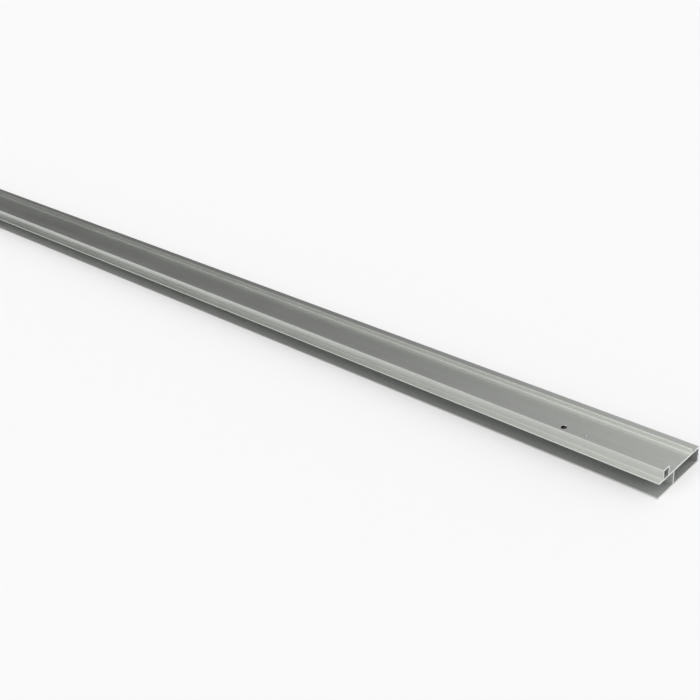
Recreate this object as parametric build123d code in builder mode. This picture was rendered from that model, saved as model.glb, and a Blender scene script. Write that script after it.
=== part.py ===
# Aluminium edge profile, one length of raw extruded stock.
# A flat two-wall chamber runs along the closed side. Its two walls carry on past a web as the
# flanges of a panel slot, which is open to the side. On top stand a small square tube and a low fin.
# X runs along the bar towards the sawn end with the screw hole, Y from the slot's mouth to the
# closed side, and Z up. The origin is under the middle of the bar, on the face it lies on.
import os

from build123d import *

os.makedirs("parts", exist_ok=True)

# Bar
stock_length = 2000.0
profile_width = 60.0
body_height = 14.5
wall = 1.4

# Panel slot, from its mouth to the web
slot_depth = 21.0

# Small square tube on the top wall
ledge_width = 5.6
tube_width = 8.8
tube_height = 8.5
tube_wall = 1.2

# Fin on the top wall
fin_from_mouth = 46.8
fin_height = 4.6
fin_thickness = 1.3

# Radii that the die leaves
outer_radius = 0.5
tip_radius = 0.4
inner_radius = 0.5
root_radius = 0.3

# Screw hole and centre-punch mark in the small tube's top wall, on one line just off its middle
drilling_from_mouth = 10.5
screw_hole_diameter = 5.0
screw_hole_from_end = 89.5
drill_run_out = 1.0
punch_mark_diameter = 1.6
punch_point_diameter = 0.3
punch_mark_depth = 0.5
punch_mark_from_end = 68.4

# Places that follow from the sizes above
mouth_y = -profile_width / 2
closed_side_y = profile_width / 2
sawn_end_x = stock_length / 2
web_y = mouth_y + slot_depth
chamber_y = web_y + wall
tube_y = mouth_y + ledge_width + tube_width / 2
drilling_y = mouth_y + drilling_from_mouth
fin_y = mouth_y + fin_from_mouth + fin_thickness / 2
inside_height = body_height - 2 * wall
tube_top = body_height + tube_height
same_height = 0.01

with BuildPart() as edge_profile:
    # The section, drawn across the bar, so the sketch's X is the bar's Y and its Y is the bar's Z
    with BuildSketch(Plane.YZ.offset(-stock_length / 2)) as section:
        # Outline of the body
        with Locations((0, body_height / 2)):
            RectangleRounded(profile_width, body_height, outer_radius)

        # The small tube and the fin start inside the top wall and stand up from it
        with Locations((tube_y, tube_top - (tube_height + wall) / 2)):
            RectangleRounded(tube_width, tube_height + wall, outer_radius)
        with Locations((fin_y, body_height + (fin_height - wall) / 2)):
            RectangleRounded(fin_thickness, fin_height + wall, tip_radius)

        # Small radii where the tube and the fin meet the top wall
        on_top_wall = section.vertices().filter_by_position(
            Axis.Y, body_height - same_height, body_height + same_height
        )
        fillet(on_top_wall.sort_by(Axis.X)[1:-1], root_radius)

        # Panel slot, open to the side, with rounded corners at the web only
        with Locations((mouth_y, body_height / 2)):
            RectangleRounded(2 * slot_depth, inside_height, inner_radius, mode=Mode.SUBTRACT)
        flange_edges = section.vertices().group_by(Axis.X)[0].sort_by(Axis.Y)
        fillet(flange_edges[1:-1], tip_radius)

        # Closed chamber between the web and the closed side
        chamber_width = closed_side_y - wall - chamber_y
        with Locations((chamber_y + chamber_width / 2, body_height / 2)):
            RectangleRounded(chamber_width, inside_height, inner_radius, mode=Mode.SUBTRACT)

        # Hollow of the small tube, down to the top wall
        with Locations((tube_y, body_height + (tube_height - tube_wall) / 2)):
            RectangleRounded(
                tube_width - 2 * tube_wall, tube_height - tube_wall, inner_radius, mode=Mode.SUBTRACT
            )
    extrude(amount=stock_length)

    # Screw hole through the small tube's top wall, into its hollow
    with Locations((sawn_end_x - screw_hole_from_end, drilling_y, tube_top)):
        Hole(screw_hole_diameter / 2, depth=tube_wall + drill_run_out)

    # Centre-punch mark, a shallow cone that stays inside the wall
    with Locations((sawn_end_x - punch_mark_from_end, drilling_y, tube_top - punch_mark_depth / 2)):
        Cone(
            punch_point_diameter / 2, punch_mark_diameter / 2, punch_mark_depth, mode=Mode.SUBTRACT
        )

edge_profile.part.label = "edge_profile"
export_step(edge_profile.part, "parts/edge_profile.step")
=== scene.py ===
from math import cos, pi, radians, sin

import bmesh
import bpy
from mathutils import Matrix, Vector


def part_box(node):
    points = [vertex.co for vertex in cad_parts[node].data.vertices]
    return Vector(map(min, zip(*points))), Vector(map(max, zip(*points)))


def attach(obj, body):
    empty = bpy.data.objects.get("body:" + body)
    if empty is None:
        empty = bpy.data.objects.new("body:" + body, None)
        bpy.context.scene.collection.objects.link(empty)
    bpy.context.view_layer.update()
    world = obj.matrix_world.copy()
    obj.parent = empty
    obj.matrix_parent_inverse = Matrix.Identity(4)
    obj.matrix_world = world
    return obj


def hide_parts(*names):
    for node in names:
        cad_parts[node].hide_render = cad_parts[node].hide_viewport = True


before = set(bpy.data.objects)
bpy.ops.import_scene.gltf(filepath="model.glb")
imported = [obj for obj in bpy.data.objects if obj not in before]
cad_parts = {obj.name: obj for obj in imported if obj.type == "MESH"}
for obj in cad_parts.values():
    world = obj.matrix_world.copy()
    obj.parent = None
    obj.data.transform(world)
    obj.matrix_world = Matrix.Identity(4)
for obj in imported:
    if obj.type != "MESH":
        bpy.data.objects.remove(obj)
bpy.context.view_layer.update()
low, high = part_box("edge_profile")
mm = 0.001


class Wire:  # a node's output socket that takes part in arithmetic
    def __init__(self, graph, socket):
        self.graph, self.socket = graph, socket

    def out(self, name):
        return Wire(self.graph, self.socket.node.outputs[name])

    def math(self, operation, first, second=0.0):
        return self.graph.node("Math", {"operation": operation}, {0: first, 1: second})

    def __add__(self, other):
        return self.math("ADD", self, other)

    def __radd__(self, other):
        return self.math("ADD", other, self)

    def __sub__(self, other):
        return self.math("SUBTRACT", self, other)

    def __rsub__(self, other):
        return self.math("SUBTRACT", other, self)

    def __mul__(self, other):
        return self.math("MULTIPLY", self, other)

    def __rmul__(self, other):
        return self.math("MULTIPLY", other, self)

    def __abs__(self):
        return self.math("ABSOLUTE", self)


class Graph:  # the nodes of one material or of the world
    def __init__(self, owner):
        owner.use_nodes = True
        self.tree = owner.node_tree
        self.tree.nodes.clear()

    def node(self, kind, settings=None, inputs=None, output=0):
        made = self.tree.nodes.new("ShaderNode" + kind)
        for name, value in (settings or {}).items():
            setattr(made, name, value)
        for name, value in (inputs or {}).items():
            if isinstance(value, Wire):
                self.tree.links.new(value.socket, made.inputs[name])
            else:
                made.inputs[name].default_value = value
        return Wire(self, made.outputs[output] if len(made.outputs) else None)

    def vector(self, operation, first, second=(0.0, 0.0, 0.0), output=0):
        return self.node("VectorMath", {"operation": operation}, {0: first, 1: second}, output)

    def noise(self, place, scale, detail=3.0, rough=0.55):
        return self.node("TexNoise", None, {
            "Vector": place, "Scale": scale, "Detail": detail, "Roughness": rough})

    def ramp(self, value, start, end, low=0.0, high=1.0):
        return self.node("MapRange", {"interpolation_type": "SMOOTHSTEP"}, {
            "Value": value, "From Min": start, "From Max": end, "To Min": low, "To Max": high})

    def fall(self, value, start, end):  # 1 before start, 0 after end
        return self.ramp(value, start, end, 1.0, 0.0)

    def band(self, value, start, end, soft):  # 1 from start to end, 0 outside
        return self.ramp(value, start - soft, start) * self.fall(value, end, end + soft)

    def blend(self, factor, first, second):  # colours
        return self.node("Mix", {"data_type": "RGBA"}, {
            0: factor, 6: (*first, 1) if isinstance(first, tuple) else first,
            7: (*second, 1) if isinstance(second, tuple) else second}, 2)


# The bar's section in millimetres. Its length, width and height come from the frame.
bar = {
    "bodyHeight": 14.5,
    "wall": 1.4,
    "slotDepth": 21.0,
    "ledgeWidth": 5.6,
    "tubeWidth": 8.8,
    "tubeWall": 1.2,
    "finFromMouth": 46.8,
    "finHeight": 4.6,
    "finThickness": 1.3,
    "outerRadius": 0.5,
    "tipRadius": 0.4,
    "innerRadius": 0.5,
    "rootRadius": 0.3,
    "grooveFromMouth": 1.5,  # fine drilling line along the ledge
    "grooveWidth": 0.5,
    "grooveDepth": 0.2,  # more than its lip and root together
    "grooveLip": 0.14,
    "grooveRoot": 0.04,
    "sawnEdge": 0.12,  # broken edge round each sawn end, less than the lip
    "stepsPerCorner": 6,
    "softAngle": 35,  # degrees; sharper edges than this stay crisp
}

# What follows from the section, across from the slot's mouth and up from the face it lies on
length, width, top = ((high[axis] - low[axis]) / mm for axis in range(3))
body, wall, web, side = bar["bodyHeight"], bar["wall"], bar["slotDepth"], bar["tubeWall"]
tubeLeft, tubeRight = bar["ledgeWidth"], bar["ledgeWidth"] + bar["tubeWidth"]
finLeft, finRight = bar["finFromMouth"], bar["finFromMouth"] + bar["finThickness"]
finTop = body + bar["finHeight"]


def meshObject(name, mesh):
    data = bpy.data.meshes.new(name)
    mesh.to_mesh(data)
    mesh.free()
    made = bpy.data.objects.new(name, data)
    bpy.context.scene.collection.objects.link(made)
    return made


def cornerPoints(corners, inset):
    # A walk with the metal on its left; each corner is across, up and radius in millimetres
    points = []
    for index, (across, up, radius) in enumerate(corners):
        here = Vector((across, up))
        before = (here - Vector(corners[index - 1][:2])).normalized()
        after = (Vector(corners[(index + 1) % len(corners)][:2]) - here).normalized()
        turn = before.x * after.y - before.y * after.x
        inward = Vector((-before.y - after.y, before.x + after.x))
        bend = radius - inset * turn
        centre = here + inward * inset - before * bend + after * bend
        for step in range(bar["stepsPerCorner"] + 1):
            angle = pi / 2 * step / bar["stepsPerCorner"]
            points.append(centre + (before * sin(angle) - after * cos(angle)) * bend)
    return points


def sectionLoops(inset):
    outer, tip, inner, root = (bar[name + "Radius"] for name in ("outer", "tip", "inner", "root"))
    grooveLeft, grooveFloor = bar["grooveFromMouth"], body - bar["grooveDepth"]
    grooveRight = grooveLeft + bar["grooveWidth"]
    outline = [
        (0, 0, outer), (width, 0, outer), (width, body, outer),
        (finRight, body, root), (finRight, finTop, tip), (finLeft, finTop, tip), (finLeft, body, root),
        (tubeRight, body, root), (tubeRight, top, outer), (tubeLeft, top, outer), (tubeLeft, body, root),
        (grooveRight, body, bar["grooveLip"]), (grooveRight, grooveFloor, bar["grooveRoot"]),
        (grooveLeft, grooveFloor, bar["grooveRoot"]), (grooveLeft, body, bar["grooveLip"]),
        (0, body, outer), (0, body - wall, tip),
        (web, body - wall, inner), (web, wall, inner), (0, wall, tip),
    ]
    chamber = [
        (web + wall, wall, inner), (web + wall, body - wall, inner),
        (width - wall, body - wall, inner), (width - wall, wall, inner),
    ]
    hollow = [
        (tubeLeft + side, body, inner), (tubeLeft + side, top - side, inner),
        (tubeRight - side, top - side, inner), (tubeRight - side, body, inner),
    ]
    return [cornerPoints(corners, inset) for corners in (outline, chamber, hollow)]


def extrudedBar():
    edge = bar["sawnEdge"]
    stations = [(low.x, edge), (low.x + edge * mm, 0), (high.x - edge * mm, 0), (high.x, edge)]
    mesh = bmesh.new()
    rings = []
    for x, inset in stations:
        rings.append([
            [mesh.verts.new((x, low.y + point.x * mm, low.z + point.y * mm)) for point in loop]
            for loop in sectionLoops(inset)])
    for near, far in zip(rings, rings[1:]):
        for first, second in zip(near, far):
            for index in range(len(first)):
                after = (index + 1) % len(first)
                mesh.faces.new((first[index], first[after], second[after], second[index]))
    for ring in (rings[0], rings[-1]):
        edges = [mesh.edges.get((loop[i - 1], loop[i])) for loop in ring for i in range(len(loop))]
        bmesh.ops.triangle_fill(mesh, edges=edges, use_beauty=True)
    bmesh.ops.recalc_face_normals(mesh, faces=mesh.faces)
    return meshObject("extrudedBar", mesh)


# Drilling in the small tube's top wall, in millimetres
drilling = {
    "fromMouth": 10.5,
    "holeDiameter": 5.0,
    "holeFromEnd": 89.5,
    "holeDepth": 2.2,
    "rimChamfer": 0.08,
    "punchDiameter": 1.6,
    "punchPoint": 0.3,
    "punchDepth": 0.5,
    "punchFromEnd": 68.4,
    "facets": 64,
}


def turnedCutter(name, x, profile):
    # Radii and heights in millimetres, turned about an upright line through the small tube
    y = low.y + drilling["fromMouth"] * mm
    angles = [2 * pi * index / drilling["facets"] for index in range(drilling["facets"])]
    mesh = bmesh.new()
    rings = []
    for radius, height in profile:
        out, z = radius * mm, high.z + height * mm
        rings.append([mesh.verts.new((x + out * cos(angle), y + out * sin(angle), z)) for angle in angles])
    for lower, upper in zip(rings, rings[1:]):
        for index in range(len(lower)):
            mesh.faces.new((lower[index - 1], lower[index], upper[index], upper[index - 1]))
    mesh.faces.new(rings[0])
    mesh.faces.new(rings[-1])
    bmesh.ops.recalc_face_normals(mesh, faces=mesh.faces)
    return meshObject(name, mesh)


def drilledBar():
    whole = extrudedBar()
    radius, chamfer = drilling["holeDiameter"] / 2, drilling["rimChamfer"]
    hole = turnedCutter("screwHoleCutter", high.x - drilling["holeFromEnd"] * mm, [
        (radius, -drilling["holeDepth"]), (radius, -chamfer), (radius + 2 * chamfer, chamfer)])
    # The punch's cone goes as far above the wall as below it
    point, mouth = drilling["punchPoint"] / 2, drilling["punchDiameter"] / 2
    punch = turnedCutter("punchMarkCutter", high.x - drilling["punchFromEnd"] * mm, [
        (point, -drilling["punchDepth"]), (2 * mouth - point, drilling["punchDepth"])])
    for cutter in (hole, punch):
        cut = whole.modifiers.new(cutter.name, "BOOLEAN")
        cut.operation, cut.solver, cut.object = "DIFFERENCE", "EXACT", cutter
    evaluated = whole.evaluated_get(bpy.context.evaluated_depsgraph_get())
    data = bpy.data.meshes.new_from_object(evaluated)
    for spare in (whole, hole, punch):
        bpy.data.objects.remove(spare)
    data.name = "edgeProfileBar"
    data.shade_smooth()
    data.set_sharp_from_angle(angle=radians(bar["softAngle"]))
    made = bpy.data.objects.new("edgeProfileBar", data)
    bpy.context.scene.collection.objects.link(made)
    weighted = made.modifiers.new("faceWeightedNormals", "WEIGHTED_NORMAL")
    weighted.keep_sharp = True
    return made


# Satin mill finish. Sizes are in millimetres, and tones are what the metal reflects, but some tones paint
# shade and highlights on it.
finish = {
    "darkTone": (0.564, 0.578, 0.549),
    "lightTone": (0.634, 0.649, 0.617),
    # The inside tone is painted shade in the hollows
    "insideShadeTone": (0.49, 0.50, 0.484),
    "sawnTone": (0.745, 0.755, 0.73),
    # Painted shade on the drilled wall
    "paintedHoleShading": (0.20, 0.203, 0.196),
    # The lighter tone of the scuffs' wear and of the painted highlights
    "polishAndHighlightTone": (0.93, 0.94, 0.91),
    # Darker tone for the lip's painted shade and the ring round the punch mark
    "darkerTone": (0.42, 0.43, 0.41),
    "roughness": 0.36,
    "insideRoughness": 0.8,
    "sawnRoughness": 0.42,
    "drilledRoughness": 0.30,
    "roughnessSpread": 0.09,
    "lineRoughness": 0.5,  # the lines' part in that spread
    # Marks of the die: length and width, then each one's part in the tone
    "dieLine": (900.0, 0.7),
    "fineLine": (350.0, 0.22),
    "dieBand": (1500.0, 6.5),
    "cloud": 70.0,
    "lineShare": 0.40,
    "fineShare": 0.12,
    "bandShare": 0.30,
    "cloudShare": 0.18,
    "toneRange": (0.32, 0.68),
    "lineDepth": 0.010,
    "fineDepth": 0.3,  # of a line's depth
    # Scuffs: length and width, then degrees from lengthwise and the noise where each starts and is full
    "scuff": (26.0, 0.35),
    "scuffs": [(8, 0.70, 0.80), (-21, 0.73, 0.82)],
    "scuffedCloud": (0.42, 0.60),
    "scuffShare": 0.30,
    "scuffShine": 0.05,
    # Painted highlights on the feet and the crest. A foot goes this far out from its corner and in from it.
    "footHighlight": 0.28,
    "footReach": (0.5, 0.2),
    "footBlur": 0.25,
    "footHeight": (-0.3, 0.55),  # about the top wall
    "footHeightBlur": 0.2,
    "tubeFootShare": 0.2,
    "crestHighlight": 0.40,
    "crestHeight": (0.9, 0.2),  # below the fin's top
    "crestPastTube": (2, 3),
    # Round the drilling, where the rim gets a painted highlight, the punch mark a darker ring and the
    # hole's wall painted shade with a painted glint: from and to past the rim, and the blur
    "rimHighlightShare": 0.22,
    "rimHighlight": (0.1, 0.8, 0.3),
    # A darker ring round the punch mark
    "punchDarkening": 0.55,
    "punchRing": (0.1, 1.1, 0.15),
    "drilledRim": (0.02, 0.08),
    "drilledHeight": (-0.3, -0.1),  # about the tube's ceiling
    # A painted glint on the drilled wall
    "glint": (0.86, 0.97),  # of the hole's radius
    # The lower flange's lip, which gets painted shade: in from the mouth and up from the wall
    "lipShade": 0.7,
    "lipReach": (0.15, 0.35),
    "lipHeight": 0.3,
    # Sawn ends: how squarely a face looks along the bar, and how near an end it is
    "sawnFacing": (0.4, 0.9),
    "sawnReach": 1.0,
    "sawnBlur": 0.2,
    "sawCentre": (0.0, 120.0, 160.0),  # its marks are shallow arcs about this far-off place
    "sawPitch": 0.6,
    "sawDepth": 0.030,
    "sawContrast": (0.3, 0.7),
    "sawShade": 0.93,
    "skin": 0.05,  # how far the inside's finish goes past its walls
}


def millAluminium():
    material = bpy.data.materials.new("satinMillAluminium")
    graph = Graph(material)
    local = graph.node("TexCoord", None, None, "Object")
    # Millimetres from the drilled end, from the slot's mouth and from the face it lies on
    spot = graph.node("VectorMath", {"operation": "MULTIPLY_ADD"}, {
        0: local, 1: (1 / mm,) * 3, 2: (-high.x / mm, -low.y / mm, -low.z / mm)})
    measured = graph.node("SeparateXYZ", None, {0: spot})
    along, across, up = measured.out("X"), measured.out("Y"), measured.out("Z")

    facing = graph.node("SeparateXYZ", None, {0: local.out("Normal")}, "X")
    reach = finish["sawnReach"]
    between = graph.band(along, reach - length, -reach, finish["sawnBlur"])
    sawn = graph.ramp(abs(facing), *finish["sawnFacing"]) * (1 - between)
    unsawn = 1 - sawn

    def stretched(place, size):
        long, wide = size
        return graph.vector("MULTIPLY", place, (1 / long, 1 / wide, 1 / wide))

    # Lines and bands that the die leaves run the bar's whole length
    lines = graph.noise(stretched(spot, finish["dieLine"]), 1.0, 3.0, 0.6)
    fine = graph.noise(stretched(spot, finish["fineLine"]), 1.0, 1.0)
    bands = graph.noise(stretched(spot, finish["dieBand"]), 1.0, 2.0, 0.5)
    clouds = graph.noise(spot, 1 / finish["cloud"])

    # Light scuffs from handling, most of them lengthwise
    scuffs = 0.0
    for degrees, start, full in finish["scuffs"]:
        turned = graph.node("VectorRotate", {"rotation_type": "Z_AXIS"}, {
            "Vector": spot, "Angle": radians(degrees)})
        scuffs = scuffs + graph.ramp(graph.noise(stretched(turned, finish["scuff"]), 1.0, 1.0), start, full)
    scuffs = scuffs * graph.ramp(clouds, *finish["scuffedCloud"])

    # The slot, the chamber and the tube's hollow are rougher, and their tone is darkened as painted shade
    skin = finish["skin"]
    slotAndChamber = graph.fall(across, width - wall, width - wall + 2 * skin)
    slotAndChamber = slotAndChamber * graph.band(up, wall - skin, body - wall + skin, skin)
    tubeHollow = graph.band(across, tubeLeft + side - 2 * skin, tubeRight - side + 2 * skin, skin)
    tubeHollow = tubeHollow * graph.band(up, body - skin, top - side + skin, skin)
    inside = (slotAndChamber + tubeHollow) * unsawn

    # Painted highlights along the feet of the tube and the fin, and along the fin's crest
    out, into = finish["footReach"]
    feet = graph.band(across, tubeLeft - out, tubeLeft + into, finish["footBlur"])
    feet = feet + graph.band(across, tubeRight - into, tubeRight + out, finish["footBlur"])
    feet = feet * finish["tubeFootShare"]
    feet = feet + graph.band(across, finLeft - out, finLeft + into, finish["footBlur"])
    bottom, rise = finish["footHeight"]
    footHeight = graph.band(up, body + bottom, body + rise, finish["footHeightBlur"])
    feet = feet * footHeight * finish["footHighlight"]
    crest = graph.ramp(up, *(finTop - depth for depth in finish["crestHeight"]))
    crest = crest * graph.ramp(across, *(tubeRight + past for past in finish["crestPastTube"]))
    crest = crest * finish["crestHighlight"]

    # The drilled wall's painted shade and painted glint, the painted highlight round the hole's rim, and a
    # darker ring round the punch mark
    def outFrom(fromEnd):
        offset = graph.vector("SUBTRACT", spot, (-fromEnd, drilling["fromMouth"], 0.0))
        return graph.vector("LENGTH", graph.vector("MULTIPLY", offset, (1.0, 1.0, 0.0)), output="Value")

    def ringAbout(distance, radius, size):
        start, end, blur = size
        return graph.band(distance, radius + start, radius + end, blur) * topWall

    topWall = graph.ramp(up, *(top - side + height for height in finish["drilledHeight"]))
    holeRadius, punchRadius = drilling["holeDiameter"] / 2, drilling["punchDiameter"] / 2
    fromHole, fromPunch = outFrom(drilling["holeFromEnd"]), outFrom(drilling["punchFromEnd"])
    drilled = graph.fall(fromHole, *(holeRadius + past for past in finish["drilledRim"])) * topWall
    glint = graph.ramp(across, *(drilling["fromMouth"] + holeRadius * part for part in finish["glint"]))
    rimHighlight = ringAbout(fromHole, holeRadius, finish["rimHighlight"])
    punchRing = ringAbout(fromPunch, punchRadius, finish["punchRing"])

    # Painted shade on the lower flange's lip
    lip = graph.fall(across, *finish["lipReach"]) * graph.fall(up, wall, wall + finish["lipHeight"])
    lip = lip * unsawn

    # Saw marks
    offset = graph.vector("SUBTRACT", spot, finish["sawCentre"])
    distance = graph.vector("LENGTH", graph.vector("MULTIPLY", offset, (0.0, 1.0, 1.0)), output="Value")
    sawMarks = graph.node("TexNoise", {"noise_dimensions": "1D"}, {
        "W": distance * (1 / finish["sawPitch"]), "Scale": 1.0, "Detail": 2.0})

    share = lines * finish["lineShare"] + fine * finish["fineShare"]
    share = share + bands * finish["bandShare"] + clouds * finish["cloudShare"]
    tone = graph.blend(graph.ramp(share, *finish["toneRange"]), finish["darkTone"], finish["lightTone"])
    # Painted shade: the slot, the chamber and the tube's hollow take a darker tone
    tone = graph.blend(inside, tone, finish["insideShadeTone"])
    # Painted highlights on the feet and on the fin's crest
    tone = graph.blend(feet + crest, tone, finish["polishAndHighlightTone"])
    tone = graph.blend(scuffs * finish["scuffShare"], tone, finish["polishAndHighlightTone"])
    # Painted highlight round the hole's rim
    tone = graph.blend(rimHighlight * finish["rimHighlightShare"], tone, finish["polishAndHighlightTone"])
    # Painted shade on the lip, and a darker ring round the punch mark
    darkerShare = punchRing * finish["punchDarkening"] + lip * finish["lipShade"]
    tone = graph.blend(darkerShare, tone, finish["darkerTone"])
    # Painted shade on the drilled wall, lit by a painted glint on one side
    paintedHoleShading = graph.blend(glint, finish["paintedHoleShading"], finish["polishAndHighlightTone"])
    tone = graph.blend(drilled, tone, paintedHoleShading)
    shaded = tuple(part * finish["sawShade"] for part in finish["sawnTone"])
    sawnTone = graph.blend(graph.ramp(sawMarks, *finish["sawContrast"]), shaded, finish["sawnTone"])
    tone = graph.blend(sawn, tone, sawnTone)

    middle, spread = 0.5, finish["roughnessSpread"]  # a noise lies about its middle
    streaks = bands - middle + (lines - middle) * finish["lineRoughness"]
    rough = finish["roughness"] + streaks * spread + (clouds - middle) * spread
    rough = rough - scuffs * finish["scuffShine"]
    rough = rough + inside * (finish["insideRoughness"] - finish["roughness"])
    rough = rough * (1 - drilled) + drilled * finish["drilledRoughness"]
    rough = rough * unsawn + sawn * finish["sawnRoughness"]

    relief = (lines + fine * finish["fineDepth"]) * unsawn * (finish["lineDepth"] * mm)
    relief = relief + sawMarks * sawn * (finish["sawDepth"] * mm)
    normal = graph.node("Bump", None, {"Height": relief, "Distance": 1.0, "Strength": 1.0}, "Normal")

    surface = graph.node("BsdfPrincipled", None, {
        "Base Color": tone, "Metallic": 1.0, "Roughness": rough, "Normal": normal})
    graph.node("OutputMaterial", None, {"Surface": surface})
    return material


# Plain pale paper, in metres. Its own whiteness lifts what the camera and the metal see of it.
paper = {
    "tone": (0.88, 0.88, 0.88),
    "speck": 0.99,
    "specksPerMetre": 60.0,
    "lift": 0.25,
    "size": 400.0,
}


def paperFloor():
    material = bpy.data.materials.new("palePaper")
    graph = Graph(material)
    grain = graph.noise(graph.node("TexCoord", None, None, "Object"), paper["specksPerMetre"], 2.0)
    pale = graph.blend(grain, paper["tone"], tuple(part * paper["speck"] for part in paper["tone"]))
    matt = graph.node("BsdfDiffuse", None, {"Color": pale})
    white = graph.node("Emission", None, {"Color": (1, 1, 1, 1), "Strength": 1.0})
    ray = graph.node("LightPath", None, None, "Is Camera Ray")
    seen = ray + ray.out("Is Glossy Ray") + ray.out("Is Transmission Ray")
    surface = graph.node("MixShader", None, {0: seen * paper["lift"], 1: matt, 2: white})
    graph.node("OutputMaterial", None, {"Surface": surface})
    half = paper["size"] / 2
    mesh = bmesh.new()
    mesh.faces.new([mesh.verts.new((x, y, low.z)) for x, y in (
        (-half, -half), (half, -half), (half, half), (-half, half))])
    floor = meshObject("paperFloor", mesh)
    floor.data.materials.append(material)


# A dome of soft glows: degrees from +Y over -X, degrees above the floor, tightness, strength
dome = {
    "fill": 0.03,
    "glows": [
        (8, 33, 12, 0.64), (0, 10, 6, 0.35), (60, 15, 6, 0.10),  # behind
        (188, 12, 6, 1.05), (270, 12, 6, 0.9), (315, 12, 6, 1.0),  # low, in front and round the drilled end
        (174, 38, 8, 1.65), (270, 38, 6, 0.45), (315, 38, 6, 0.9),  # higher there
        (180, 65, 6, 0.95),
    ],
    # A pale ring at the horizon carries the paper on into the distance: degrees, degrees, strength
    "ringTop": 3.6,
    "ringFade": 1.6,
    "ringLight": 0.95,
}


def softStudio():
    world = bpy.data.worlds.new("softStudio")
    bpy.context.scene.world = world
    graph = Graph(world)
    outward = graph.node("TexCoord", None, None, "Generated")
    light = dome["fill"]
    for azimuth, elevation, tightness, strength in dome["glows"]:
        turn, rise = radians(azimuth), radians(elevation)
        middle = (-sin(turn) * cos(rise), cos(turn) * cos(rise), sin(rise))
        near = graph.vector("DOT_PRODUCT", outward, middle, "Value")
        light = light + near.math("EXPONENT", (near - 1) * tightness) * strength
    height = graph.node("SeparateXYZ", None, {0: outward}, "Z")
    ringTop, ringEnd = dome["ringTop"], dome["ringTop"] + dome["ringFade"]
    ring = graph.fall(abs(height), sin(radians(ringTop)), sin(radians(ringEnd)))
    light = light * (1 - ring) + ring * dome["ringLight"]
    sky = graph.node("Background", None, {"Color": (1, 1, 1, 1), "Strength": light})
    graph.node("OutputWorld", None, {"Surface": sky})


# The photograph's camera: degrees, and metres from the foot of the drilled end's middle
photo = {
    "fromEnd": (0.3075, -0.6241, 0.5039),
    "azimuth": 46.19,
    "elevation": 29.17,
    "roll": -5.42,
    "lens": 55.66,
    "sensor": 36.0,
    "clip": (0.01, 100),
}


def photoCamera():
    data = bpy.data.cameras.new("photoCamera")
    data.sensor_width, data.lens = photo["sensor"], photo["lens"]
    data.clip_start, data.clip_end = photo["clip"]
    camera = bpy.data.objects.new("photoCamera", data)
    end = Vector((high.x, 0, low.z))
    turn = (Matrix.Rotation(radians(photo["azimuth"]), 4, "Z")
            @ Matrix.Rotation(radians(90 - photo["elevation"]), 4, "X")
            @ Matrix.Rotation(radians(photo["roll"]), 4, "Z"))
    camera.matrix_world = Matrix.Translation(end + Vector(photo["fromEnd"])) @ turn
    bpy.context.scene.collection.objects.link(camera)
    bpy.context.scene.camera = camera


piece = drilledBar()
piece.data.materials.clear()
piece.data.materials.append(millAluminium())
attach(piece, "root")
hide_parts("edge_profile")
print("bar ready:", len(piece.data.polygons), "faces")

paperFloor()
softStudio()
print("studio ready")

photoCamera()
bpy.context.scene.view_settings.view_transform = "Standard"
print("camera ready")
